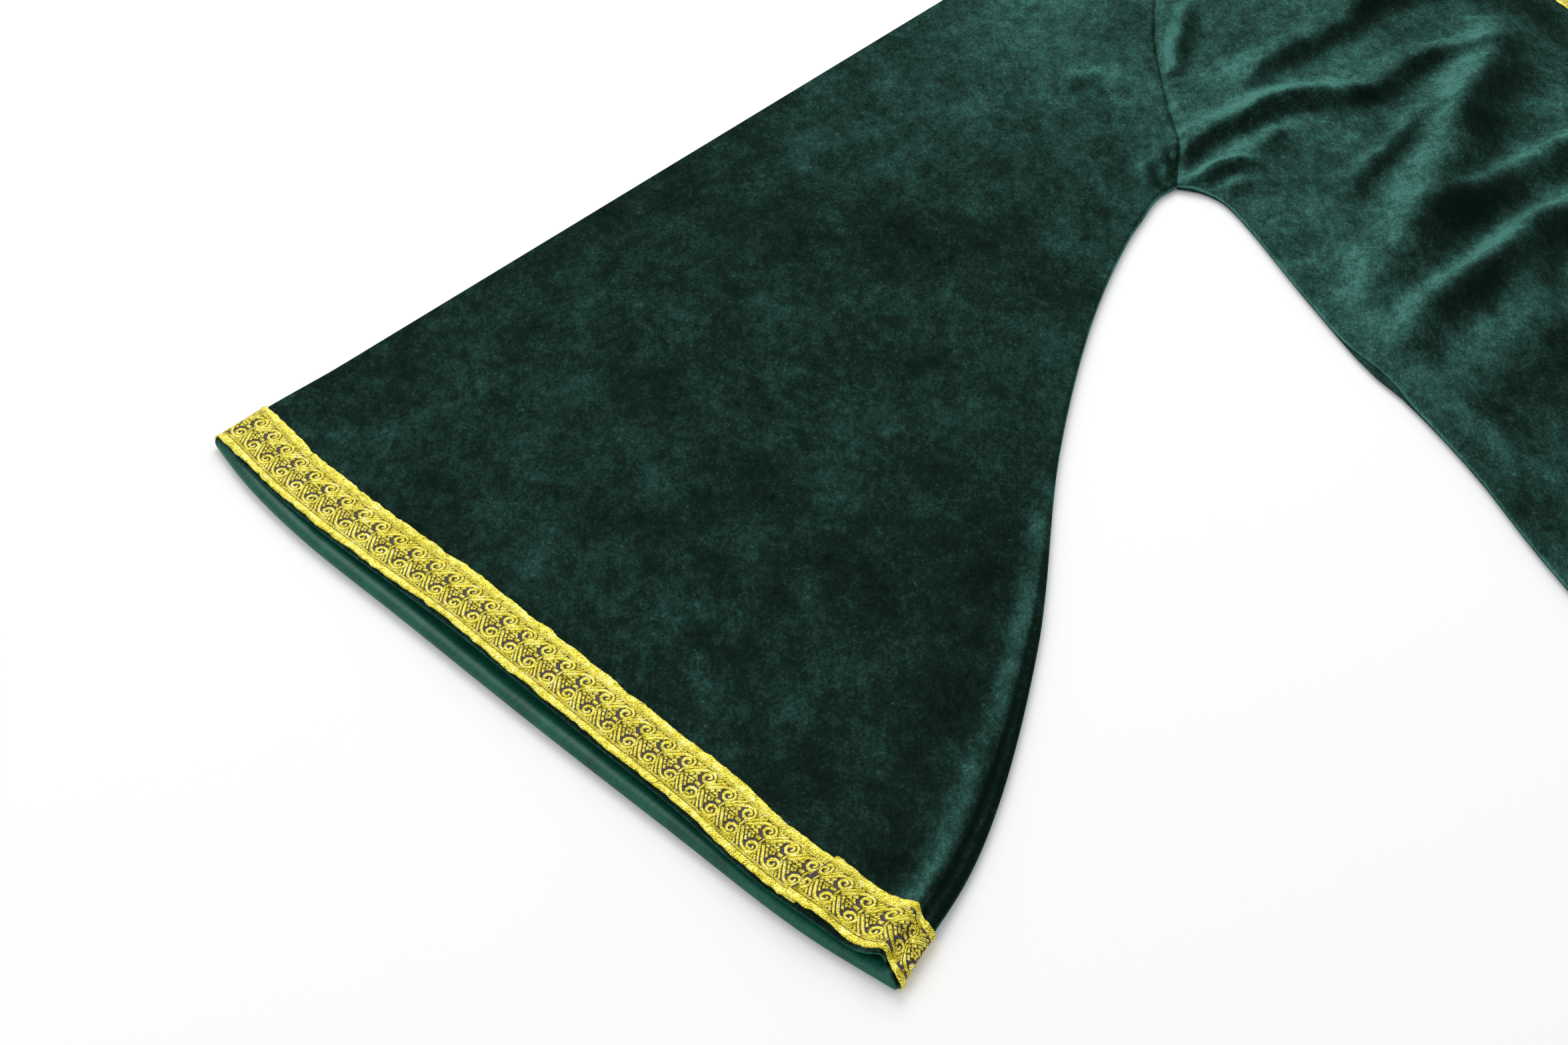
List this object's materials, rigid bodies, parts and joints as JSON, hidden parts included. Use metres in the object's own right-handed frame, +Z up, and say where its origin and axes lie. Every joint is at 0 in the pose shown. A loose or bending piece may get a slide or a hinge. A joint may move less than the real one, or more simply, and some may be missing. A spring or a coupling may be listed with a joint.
{
  "type": "wizard robe",
  "caption": "Long open-front robe of dark green velour with raglan bell sleeves and woven gold ribbon round the cuffs and down the front edges, laid flat on its back.",
  "frame": {"origin": "under the middle of the laid-out robe's box, on the surface that it rests on", "axes": "+X towards the robe's left sleeve, +Y from the hem towards the neck, +Z up from the surface"},
  "size_m": [1.5268, 1.4124, 0.017],
  "materials": {
    "velour": "matte",
    "gold_ribbon": "satin"
  },
  "bodies": {
    "root": {"back": "velour", "front_right": "velour", "front_left": "velour", "sleeve_right": "velour", "sleeve_left": "velour", "cuff_ribbon_right": "gold_ribbon", "cuff_ribbon_left": "gold_ribbon", "front_ribbon_right": "gold_ribbon", "front_ribbon_left": "gold_ribbon"}
  },
  "joints": []
}
